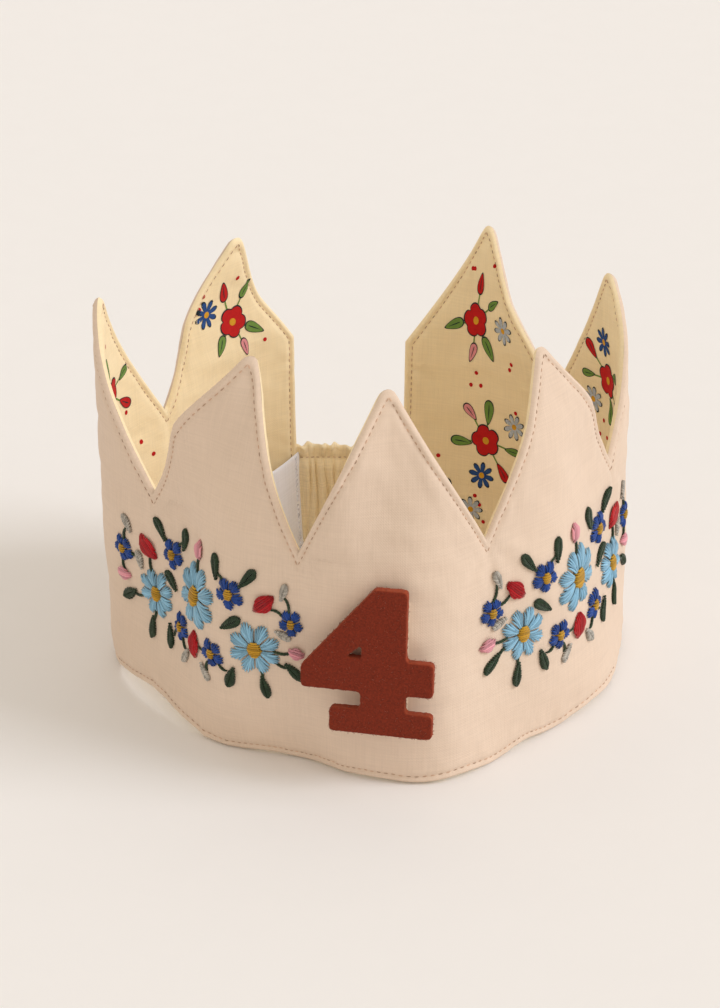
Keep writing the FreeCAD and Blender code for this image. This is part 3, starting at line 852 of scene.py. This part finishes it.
def casing_point(share, height, side):
    """A point on one side of the gathered casing. share runs across the back, from 0 to 1."""
    start, start_out = wall(np.full_like(share, STRIP_START + SEAM_STEP), height)
    end, end_out = wall(np.full_like(share, STRIP_END - SEAM_STEP), height)
    middle = start * (1 - share)[:, None] + end * share[:, None]
    out = start_out * (1 - share)[:, None] + end_out * share[:, None]
    out /= np.linalg.norm(out, axis=1, keepdims=True)
    from_edge = np.minimum(height, CASING_HEIGHT - height)
    pinch = np.exp(-((from_edge - CASING_HEADER) / 0.9) ** 2)
    channel = np.clip((from_edge - CASING_HEADER) / 3.0, 0, 1)
    in_header = np.clip((CASING_HEADER - from_edge) / CASING_HEADER, 0, 1)
    across = share * CASING_WIDTH
    drift = 0.8 * np.sin(height * 0.11 + across * 0.35) + 0.5 * np.sin(across * 0.9 + 1.3)
    crease = np.abs(np.sin(math.pi * (across + drift) / PLEAT_STEP)) ** 0.8
    other = (across * 1.07 - drift * 0.8 + side) / OTHER_PLEAT_STEP
    other = np.abs(np.sin(math.pi * other + side * 0.7)) ** 0.9
    soft_ends = np.clip(np.minimum(share, 1 - share) * 9, 0, 1)
    fold = (0.62 * crease + 0.38 * other) * soft_ends
    half = 1.05 + channel * (0.25 + PLEAT_DEPTH * fold) + in_header * 0.1 - 0.45 * pinch
    half = half + HEADER_PLEAT_DEPTH * fold * (1 - channel)
    flap = np.sin(2 * math.pi * across / RUFFLE_STEP + 1.5 * np.sin(across * 0.6))
    flap = RUFFLE_DEPTH * flap * in_header * soft_ends
    half = np.where(from_edge < 0.01, CASING_FOLD_HALF, half)
    bow = CASING_BOW * 4 * share * (1 - share)
    points = middle + out * (bow + flap + side * half)[:, None]
    top = np.where(height > CASING_HEIGHT / 2, 1, 0)
    points[:, 2] += top * in_header * 0.5 * np.sin(2 * math.pi * across / 3.7) * soft_ends
    return points


def casing_cloth(material):
    """The tube of lining cloth gathered over the elastic, with a ruffle above and below it."""
    columns_count, rows = 260, 64
    share = np.linspace(0, 1, columns_count)
    level = 0.5 - 0.5 * np.cos(np.linspace(0, math.pi, rows))
    level = CASING_HEIGHT * (0.4 * level + 0.6 * np.linspace(0, 1, rows))
    points, places = [], []
    for side, heights in ((1, level), (-1, level[::-1])):
        grid_share, grid_height = np.meshgrid(share, heights, indexing="ij")
        points.append(casing_point(grid_share.ravel(), grid_height.ravel(), side))
        points[-1] = points[-1].reshape(columns_count, rows, 3)
        places.append(np.stack([grid_share * CASING_WIDTH * CASING_FULLNESS, grid_height], -1))
    points = np.concatenate(points, axis=1)
    places = np.concatenate(places, axis=1)
    count, rows = points.shape[:2]
    grid = np.arange(count * rows).reshape(count, rows)
    ahead = np.roll(grid, -1, axis=1)
    faces = np.stack([grid[1:], grid[:-1], ahead[:-1], ahead[1:]], -1).reshape(-1, 4)
    return new_piece("casing_cloth", points.reshape(-1, 3), faces.tolist(), material,
                     places=places.reshape(-1, 2))


def casing_stitches(material):
    """The two rows of machine stitches that hold the elastic's channel, on both sides."""
    step = sizes().stitch_step / MM * 0.8
    lines, ups = [], []
    for side in (1, -1):
        for height in (CASING_HEADER, CASING_HEIGHT - CASING_HEADER):
            for start in np.arange(1.5, CASING_WIDTH - 2.5, step):
                share = np.linspace(start, start + step * 0.7, 5) / CASING_WIDTH
                level = np.full(5, height)
                inner = casing_point(share, level, side)
                outer = casing_point(share, level, -side)
                out = inner - outer
                out /= np.linalg.norm(out, axis=1, keepdims=True)
                lift = np.array([-0.1, 0.1, 0.15, 0.1, -0.1])[:, None]
                lines.append(inner + out * lift)
                ups.append(out)
    return new_piece("casing_stitches", *strands(lines, ups, sizes().seam_thread / MM), material)


LABEL_LENGTH = 24.0
LABEL_LOW = 4.0
LABEL_HIGH = 38.0
LABEL_THICKNESS = 0.8
LABEL_TURN = -45.0


def label_point(out_share, height):
    """Points of the label's middle, and the level direction across it."""
    seam = wall(np.full_like(height, STRIP_START + SEAM_STEP), height, -1.6 - LABEL_THICKNESS)[0]
    inward = -wall(np.full_like(height, STRIP_START), height)[1]
    turn = math.radians(LABEL_TURN)
    along = np.stack([inward[:, 0] * math.cos(turn) - inward[:, 1] * math.sin(turn),
                      inward[:, 0] * math.sin(turn) + inward[:, 1] * math.cos(turn),
                      np.zeros(len(height))], -1)
    across = np.stack([-along[:, 1], along[:, 0], np.zeros(len(height))], -1)
    rise = (height - LABEL_LOW) / (LABEL_HIGH - LABEL_LOW)
    curl = 0.7 * np.sin(math.pi * out_share) - 0.9 * out_share ** 2 * (rise - 0.5)
    reach = out_share * LABEL_LENGTH
    points = seam + along * reach[:, None] + across * curl[:, None]
    points[:, 2] -= 0.5 * out_share ** 2
    return points, across


def side_label_tape(material):
    """The folded tape label, left open where it goes into the seam."""
    across_places, up_places = np.linspace(-0.06, 1, 30), np.linspace(LABEL_LOW, LABEL_HIGH, 40)
    share, height = np.meshgrid(across_places, up_places, indexing="ij")
    places = np.stack([share.ravel() * LABEL_LENGTH, height.ravel()], -1)
    middle, across = label_point(share.ravel(), height.ravel())
    low, high = (height - LABEL_LOW) / LABEL_LENGTH, (LABEL_HIGH - height) / LABEL_LENGTH
    near_edge = np.minimum.reduce([1 - share, low, high]).ravel()
    half = 0.15 + (LABEL_THICKNESS / 2 - 0.15) * np.sqrt(np.clip(near_edge / 0.06, 0, 1))
    front = middle + across * half[:, None]
    back = middle - across * half[:, None]
    faces = grid_faces(share.shape)
    count = len(front)
    loop = rim_loop(share.shape)
    closing = loop_faces(loop, loop + count)
    rows = share.shape[1]
    closing = closing[:-(rows - 1)]
    faces = np.concatenate([faces[:, ::-1], faces + count, closing])
    return new_piece("side_label_tape", np.concatenate([front, back]), faces.tolist(), material,
                     places=np.concatenate([places, places]))


def label_stitches(material):
    """The zigzag overlock along the label's edge at the seam, on both faces."""
    heights = np.linspace(LABEL_LOW + 0.6, LABEL_HIGH - 0.6, 42)
    lines, ups = [], []
    for side in (1, -1):
        for index, (low, high) in enumerate(zip(heights, heights[1:])):
            steps = np.linspace(0, 1, 4)
            swing = steps if index % 2 else 1 - steps
            middle, across = label_point(0.01 + 0.06 * swing, low + (high - low) * steps)
            lift = LABEL_THICKNESS / 2 + np.array([-0.05, 0.12, 0.12, -0.05])
            lines.append(middle + across * (side * lift)[:, None])
            ups.append(across * side)
    return new_piece("label_stitches", *strands(lines, ups, 0.4), material)


def number_outward():
    """The direction out of the felt number's face."""
    turn, lean = math.radians(NUMBER_TURN), math.radians(NUMBER_LEAN)
    level = math.cos(lean)
    return Vector((-math.sin(turn) * level, -math.cos(turn) * level, math.sin(lean)))


def felt_figure(material):
    """The felt figure: the solid's shape with softly pressed faces and cut edges."""
    mesh = frame["nodes"]["felt_number"].data.copy()
    piece = bpy.data.objects.new("felt_figure", mesh)
    bpy.context.scene.collection.objects.link(piece)
    modifier = piece.modifiers.new("remesh", "REMESH")
    modifier.mode = "VOXEL"
    modifier.voxel_size = FELT_GRID * MM
    soften = piece.modifiers.new("soften", "SMOOTH")
    soften.factor = 0.5
    soften.iterations = 2
    graph = bpy.context.evaluated_depsgraph_get()
    mesh = bpy.data.meshes.new_from_object(piece.evaluated_get(graph))
    piece.modifiers.clear()
    piece.data = mesh
    outward = number_outward()
    # A painted highlight mask: faces turned sideways from the front, the cut edges, are marked to take a
    # lighter colour.
    cut = mesh.attributes.new("cut_edge", "FLOAT", "POINT")
    values = []
    for vertex in mesh.vertices:
        facing = abs(vertex.normal.dot(outward))
        values.append(min(1.0, max(0.0, 1.15 - facing * 1.3)))
        rough = sum(noise.noise(vertex.co / (size * MM)) * depth for size, depth in FELT_LUMPS)
        vertex.co += vertex.normal * (rough * MM)
    cut.data.foreach_set("value", values)
    mesh.polygons.foreach_set("use_smooth", [True] * len(mesh.polygons))
    mesh.materials.clear()
    mesh.materials.append(material)
    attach(piece, "root")
    return piece


def felt_fuzz(figure, material):
    """Short loose fibres on the felt's faces, and more of them on its cut edges."""
    draw = random.Random(41)
    mesh = figure.data
    outward = number_outward()
    length = sizes().fuzz_length / MM
    lines, ups = [], []
    for vertex in mesh.vertices:
        edge = abs(vertex.normal.dot(outward)) < 0.75
        if vertex.normal.dot(outward) < -0.5 or draw.random() > (0.05 if edge else 0.03):
            continue
        normal = vertex.normal
        heading = Vector([draw.gauss(0, 1) for _ in range(3)])
        heading -= normal * heading.dot(normal)
        heading.normalize()
        start = vertex.co / MM
        size = length * draw.uniform(0.5, 1.2)
        lift = draw.uniform(0.12, 0.5) if edge else draw.uniform(0.03, 0.14)
        line = []
        for step in range(4):
            share = step / 3
            rise = lift * math.sin(math.pi * min(1, share * 0.8 + 0.05)) - 0.03
            swing = normal.cross(heading) * (0.25 * size * share ** 2 * draw.uniform(-1, 1))
            line.append(start + heading * (size * share) + swing + normal * rise)
        lines.append([list(point) for point in line])
        ups.append([list(normal)] * 4)
    return new_piece("felt_fuzz", *strands(lines, ups, 0.11, sides=3), material)


# The lining's print

# How high the print's layers stand off the cloth: the flat dots and stems, the outline, its
# colour and its middle
PRINT_LAYERS = (0.10, 0.14, 0.18, 0.22)
PRINT_SCALE = 1.2

# The rows of clusters: height, first place, step and count
PRINT_ROWS = ((14, 24, 46, 10), (50, 47, 46, 10), (88, HALF_PITCH, POINT_PITCH, POINT_COUNT))

# Stems keep this far inside the edge and shapes the margin. The line is round each shape.
STEM_ROOM = 7.0
STEM_HALF = 0.3
PRINT_MARGIN = 0.9
PRINT_LINE = 0.5
DOT_SIZE = 0.75
INKS = {
    "red": "#c2191b", "green": "#6f9346", "grey": "#b7c0cb", "blue": "#2a4f8e",
    "pink": "#e2949b", "ochre": "#d9a02b", "ink": "#1f2c33",
}

# One cluster: kind, colour, size, place and turn
CLUSTER = (
    ("blossom", "red", 4.6, 0, 0, 0.3),
    ("leaf", "green", 3.4, 7.5, 4.5, 0.6),
    ("leaf", "green", 3.0, -6.0, 5.5, 2.2),
    ("daisy", "grey", 3.6, 11.0, -4.5, 0.2),
    ("daisy", "blue", 3.8, -9.5, -5.5, 0.5),
    ("leaf", "pink", 2.6, 3.0, 9.0, 1.4),
    ("leaf", "red", 2.9, -3.5, -10.0, -1.9),
    ("leaf", "green", 2.4, 4.5, -8.5, -1.0),
)


def print_outline(kind, size):
    """The outline of a printed shape about its own middle."""
    count = {"dot": 14, "stem": 16, "leaf": 30}.get(kind, 48)
    turns = np.linspace(0, 2 * math.pi, count, endpoint=False)
    if kind == "stem":
        return np.stack([size * np.cos(turns), STEM_HALF * np.sin(turns)], -1)
    if kind == "dot":
        reach = np.full(count, size)
    elif kind == "daisy":
        reach = size * (0.34 + 0.66 * np.abs(np.cos(turns * 4)) ** 0.7)
    elif kind == "blossom":
        reach = size * (0.72 + 0.28 * np.abs(np.cos(turns * 2.5)) ** 0.6)
    else:
        return np.stack([size * np.cos(turns), 0.42 * size * np.sin(turns) * (1 - 0.45 * np.cos(turns))], -1)
    return np.stack([reach * np.cos(turns), reach * np.sin(turns)], -1)


def printed_shape(outline, x, y, turn, lift, groups, colour):
    """Lay a printed shape on the lining, where all of it lies inside the edge."""
    cosine, sine = math.cos(turn), math.sin(turn)
    placed = np.stack([x + outline[:, 0] * cosine - outline[:, 1] * sine,
                       y + outline[:, 0] * sine + outline[:, 1] * cosine], -1)
    if edge_distance(placed[:, 0], placed[:, 1]).min() < PRINT_MARGIN:
        return False
    middle = np.array([[x, y]])
    rings = [middle + (placed - middle) * share for share in (1, 0.66, 0.33)]
    flat = np.concatenate(rings + [middle])
    points = cloth_point(flat[:, 0], flat[:, 1], -1, lift)[0]
    count = len(outline)
    loops = [np.arange(count) + count * step for step in range(len(rings))]
    faces = []
    for outer, inner in zip(loops, loops[1:]):
        faces += loop_faces(outer, inner)[:, ::-1].tolist()
    for index in range(count):
        faces.append([loops[2][(index + 1) % count], loops[2][index], 3 * count])
    groups.setdefault(colour, []).append((points, faces))
    return True


def print_layout():
    """Where the clusters and dots of the print lie: kind, colour, size, place and turn."""
    draw = random.Random(17)
    shapes = []
    for level, first, step, count in PRINT_ROWS:
        for column in range(count):
            x = first + column * step + draw.uniform(-4, 4)
            y = level + draw.uniform(-4, 4)
            turn = draw.uniform(0, 2 * math.pi)
            mirror = draw.choice((-1, 1))
            for kind, colour, size, dx, dy, own in CLUSTER:
                px = PRINT_SCALE * (mirror * dx * math.cos(turn) - dy * math.sin(turn))
                py = PRINT_SCALE * (mirror * dx * math.sin(turn) + dy * math.cos(turn))
                reach = math.hypot(px, py) / 2
                if reach and kind == "leaf":
                    shapes.append(("stem", "green", reach, x + px / 2, y + py / 2, math.atan2(py, px)))
                shapes.append((kind, colour, size * PRINT_SCALE, x + px, y + py, own * mirror + turn))
            for _ in range(6):
                angle = draw.uniform(0, 2 * math.pi)
                reach = draw.uniform(15, 22)
                px, py = x + reach * math.cos(angle), y + reach * math.sin(angle)
                shapes.append(("dot", "red", DOT_SIZE, px, py, 0))
    return shapes


def lining_print(materials):
    """The lining's print: outlined flowers, buds and leaves in flat colours, and small dots."""
    groups = {}
    for kind, colour, size, x, y, turn in print_layout():
        if not STRIP_START + 2 < x < STRIP_END - 2:
            continue
        if kind == "stem":
            root = edge_distance(x - size * math.cos(turn), y - size * math.sin(turn))
            if root < STEM_ROOM:
                continue
        if kind in ("dot", "stem"):
            printed_shape(print_outline(kind, size), x, y, turn, PRINT_LAYERS[0], groups, colour)
            continue
        if printed_shape(print_outline(kind, size + PRINT_LINE), x, y, turn, PRINT_LAYERS[1], groups, "ink"):
            printed_shape(print_outline(kind, size), x, y, turn, PRINT_LAYERS[2], groups, colour)
            if kind == "leaf":
                vein = print_outline("leaf", size * 0.7) * (1, 0.16)
                printed_shape(vein, x, y, turn, PRINT_LAYERS[3], groups, "ink")
            else:
                middle = print_outline("dot", size * 0.24)
                printed_shape(middle, x, y, turn, PRINT_LAYERS[3], groups, "ochre")
    made = []
    for colour, shapes in sorted(groups.items()):
        made.append(new_piece("lining_print_" + colour, *gathered(shapes), materials[colour]))
    return made


# The operators

# The embroidery's threads: its parts, their slots, the shades' names and the colours
THREADS = (
    ("blue_blossoms", "thread_sky_blue", "light blue", "blue_thread"),
    ("navy_blossoms", "thread_navy", "deep blue", "navy_thread"),
    ("ochre_centres", "thread_ochre", "ochre", "ochre_thread"),
    ("red_buds", "thread_red", "red", "red_thread"),
    ("pink_buds", "thread_pink", "pink", "pink_thread"),
    ("green_leaves", "thread_green", "green", "green_thread"),
    ("grey_leaves", "thread_grey", "grey", "grey_thread"),
)

# The studio: where the camera stands and looks, the soft light all round, and the window's light
# with the spread of its rays in degrees
CAMERA_PLACE = (-2.10, -764.50, 440.96)
CAMERA_LOOK = (-2.10, 4.70, 54.1)
SKY_COLOUR = (1.0, 0.91, 0.79, 1)
SKY_STRENGTH = 0.745
WINDOW_TOWARDS = (0.80, -0.14, 0.58)
WINDOW_STRENGTH = 1.33
WINDOW_SPREAD = 28
WINDOW_COLOUR = (0.98, 1.0, 1.06)


class CROWN_OT_wall(bpy.types.Operator):
    """Make the outer cloth and the lining of the wall"""

    bl_idname = "crown.wall"
    bl_label = "Padded Wall"

    def execute(self, context):
        outer = padded_cloth("outer_cloth", 1, cotton("outer plain-woven cotton", colours().outer_cotton))
        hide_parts("outer_shell")
        inner = padded_cloth("lining_cloth", -1, cotton("lining plain-woven cotton", colours().lining_cotton))
        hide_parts("lining")
        return {"FINISHED"}


class CROWN_OT_wadding(bpy.types.Operator):
    """Make the wadding that fills the wall"""

    bl_idname = "crown.wadding"
    bl_label = "Wadding"

    def execute(self, context):
        along, height = strip_places(WADDING_INSET, rows=40)
        along, height = along[::3], height[::3]
        folds = (skin_offset(along, height, 1) + skin_offset(along, height, -1)) / 2
        points = [wall(along.ravel(), height.ravel(), folds.ravel() + side * WADDING_HALF)[0]
                  for side in (1, -1)]
        count = along.size
        faces = grid_faces(along.shape)
        loop = rim_loop(along.shape)
        faces = np.concatenate([faces, faces[:, ::-1] + count, loop_faces(loop + count, loop)])
        material = speckled("needled polyester wadding", linear("#f1efe8"), 0.8, 0.2, 0.92)
        wadding = new_piece("wadding", np.concatenate(points), faces.tolist(), material)
        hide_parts("interlining")
        return {"FINISHED"}


class CROWN_OT_print(bpy.types.Operator):
    """Print the lining with outlined flowers and dots"""

    bl_idname = "crown.print"
    bl_label = "Lining Print"

    def execute(self, context):
        materials = {name: dye("screen-printed " + name + " pigment", linear(shade))
                     for name, shade in INKS.items()}
        for piece in lining_print(materials):
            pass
        return {"FINISHED"}


class CROWN_OT_topstitching(bpy.types.Operator):
    """Sew the topstitching round both cloths"""

    bl_idname = "crown.topstitching"
    bl_label = "Topstitching"

    def execute(self, context):
        material = thread("spun polyester seam thread", colours().seam_thread, 0.65)
        for cloth, side in (("outer", 1), ("lining", -1)):
            topstitching(cloth + "_stitches", side, material)
        return {"FINISHED"}


class CROWN_OT_embroidery(bpy.types.Operator):
    """Stitch the two sprays of flowers in satin thread"""

    bl_idname = "crown.embroidery"
    bl_label = "Embroidery"

    def execute(self, context):
        threads = {}
        for part, slot, shade, colour in THREADS:
            material = thread("mercerised " + shade + " thread", getattr(colours(), colour))
            threads[part] = (slot, material)
        spacing = sizes().satin_thread / MM * 0.86
        for side, middle, flip, seed in (("left", SPRAY_LEFT, 1, 3), ("right", SPRAY_RIGHT, -1, 8)):
            for part, lines in spray_strands(spacing, seed).items():
                slot, material = threads[part]
                name = side + "_" + part
                piece = embroidered(name + "_thread", lines, middle, flip, material)
                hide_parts(name)
        return {"FINISHED"}


class CROWN_OT_casing(bpy.types.Operator):
    """Make the gathered casing at the back and finish the elastic inside it"""

    bl_idname = "crown.casing"
    bl_label = "Gathered Casing"

    def execute(self, context):
        cloth = cotton("gathered plain-woven cotton", colours().lining_cotton, 0.84)
        casing = casing_cloth(cloth)
        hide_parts("back_casing")
        stitches = casing_stitches(thread("casing seam thread", colours().seam_thread, 0.65))
        elastic = frame["nodes"]["elastic_band"].data
        elastic.materials.clear()
        elastic.materials.append(ribbed("woven rubber-cored elastic", linear("#efece4"), 1.2, 0.2))
        return {"FINISHED"}


class CROWN_OT_label(bpy.types.Operator):
    """Make the bare label that is sewn into the seam"""

    bl_idname = "crown.label"
    bl_label = "Bare Label"

    def execute(self, context):
        label = side_label_tape(cotton("taffeta-woven polyester tape", colours().label, 0.93, 0.03))
        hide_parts("side_label")
        stitches = label_stitches(thread("white overlock thread", colours().label, 0.6))
        return {"FINISHED"}


class CROWN_OT_number(bpy.types.Operator):
    """Make the felt number with its fuzz, and finish the two tape patches behind it"""

    bl_idname = "crown.number"
    bl_label = "Felt Number"

    def execute(self, context):
        felt = colours().felt
        # The lighter colour of the painted highlight on the felt's cut edges.
        edge = rgba(linear("#9c4326"))
        figure = felt_figure(speckled("pressed wool felt", felt, 0.5, 0.3, 0.66, 0.95, 0.03, edge))
        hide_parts("felt_number")
        fuzz = felt_fuzz(figure, thread("loose wool fibres", linear("#9c4a30"), 0.9))
        for node, name, shade, grain in (
            ("number_hook_patch", "moulded nylon hook tape", "#c9b096", 0.9),
            ("front_loop_patch", "brushed nylon loop tape", "#e6cdb6", 0.6),
        ):
            mesh = frame["nodes"][node].data
            mesh.materials.clear()
            mesh.materials.append(speckled(name, linear(shade), grain, 0.3))
        return {"FINISHED"}


class CROWN_OT_stage(bpy.types.Operator):
    """Set the paper sweep, the studio light and the camera"""

    bl_idname = "crown.stage"
    bl_label = "Stage"

    def execute(self, context):
        scene = context.scene
        floor = new_piece("paper_sweep", *sweep(), paper())
        floor.parent = None
        del floor["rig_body"]
        world = bpy.data.worlds.new("studio")
        world.use_nodes = True
        tree = world.node_tree
        tree.nodes.clear()
        surround = add_node(tree, "ShaderNodeBackground", None, {
            "Color": SKY_COLOUR, "Strength": SKY_STRENGTH})
        add_node(tree, "ShaderNodeOutputWorld", None, {"Surface": surround.outputs[0]})
        scene.world = world
        window_light(WINDOW_TOWARDS, WINDOW_STRENGTH, WINDOW_SPREAD, WINDOW_COLOUR)
        camera = bpy.data.cameras.new("camera")
        camera.sensor_fit = "VERTICAL"
        camera.sensor_height = 36
        camera.lens = 100
        camera.clip_start = 0.05
        eye = bpy.data.objects.new("camera", camera)
        scene.collection.objects.link(eye)
        eye.location = Vector(CAMERA_PLACE) * MM
        look = Vector(CAMERA_LOOK) * MM - eye.location
        eye.rotation_euler = look.to_track_quat("-Z", "Y").to_euler()
        scene.camera = eye
        scene.view_settings.view_transform = "Standard"
        return {"FINISHED"}


def sweep():
    """Points and faces of the paper: a floor that curves up into a backdrop far behind."""
    profile = [(-3000.0, 0.0), (1800.0, 0.0)]
    for step in range(1, 13):
        turn = math.pi / 2 * step / 12
        profile.append((1800 + 900 * math.sin(turn), 900 - 900 * math.cos(turn)))
    profile.append((2700.0, 4000.0))
    half = 4000.0
    points = [(x, y, z) for y, z in profile for x in (-half, half)]
    faces = [[2 * row, 2 * row + 1, 2 * row + 3, 2 * row + 2] for row in range(len(profile) - 1)]
    return np.array(points), faces


def paper():
    """Matt photographic background paper: a pale uncoated sheet with a very fine tooth."""
    material, tree, shader = new_material("uncoated background paper", 0.95)
    place = add_node(tree, "ShaderNodeTexCoord").outputs["Object"]
    tooth = noise_node(tree, place, 60.0, 2.0)
    shade = colours().backdrop
    finish_shader(tree, shader, blend_node(tree, tooth, rgba(shade, 0.985), rgba(shade)))
    return material


def window_light(towards, strength, spread, colour):
    """Soft daylight from a large window far off. Its spread is in degrees."""
    lamp = bpy.data.lights.new("window", "SUN")
    lamp.energy = strength
    lamp.angle = math.radians(spread)
    lamp.color = colour
    holder = bpy.data.objects.new("window", lamp)
    bpy.context.scene.collection.objects.link(holder)
    holder.location = Vector(towards)
    holder.rotation_euler = (-Vector(towards)).to_track_quat("-Z", "Y").to_euler()
    return holder


class CROWN_PT_panel(bpy.types.Panel):
    """The crown's pieces in the sidebar"""

    bl_idname = "CROWN_PT_panel"
    bl_label = "Crown"
    bl_space_type = "VIEW_3D"
    bl_region_type = "UI"
    bl_category = "Crown"

    def draw(self, context):
        for group in (context.scene.crown_sizes, context.scene.crown_colours):
            box = self.layout.box()
            for name in group.bl_rna.properties.keys():
                if name not in ("rna_type", "name"):
                    box.prop(group, name)
        for operator in OPERATORS:
            self.layout.operator(operator.bl_idname)


OPERATORS = (
    CROWN_OT_wall,
    CROWN_OT_wadding,
    CROWN_OT_print,
    CROWN_OT_topstitching,
    CROWN_OT_embroidery,
    CROWN_OT_casing,
    CROWN_OT_label,
    CROWN_OT_number,
    CROWN_OT_stage,
)
CLASSES = (CrownSizes, CrownColours) + OPERATORS + (CROWN_PT_panel,)


def register():
    for each in CLASSES:
        bpy.utils.register_class(each)
    bpy.types.Scene.crown_sizes = bpy.props.PointerProperty(type=CrownSizes)
    bpy.types.Scene.crown_colours = bpy.props.PointerProperty(type=CrownColours)


def unregister():
    del bpy.types.Scene.crown_colours
    del bpy.types.Scene.crown_sizes
    for each in reversed(CLASSES):
        bpy.utils.unregister_class(each)


def main():
    register()
    bpy.ops.crown.wall()
    bpy.ops.crown.wadding()
    bpy.ops.crown.print()
    bpy.ops.crown.topstitching()
    bpy.ops.crown.embroidery()
    bpy.ops.crown.casing()
    bpy.ops.crown.label()
    bpy.ops.crown.number()
    bpy.ops.crown.stage()


if __name__ == "__main__":
    main()
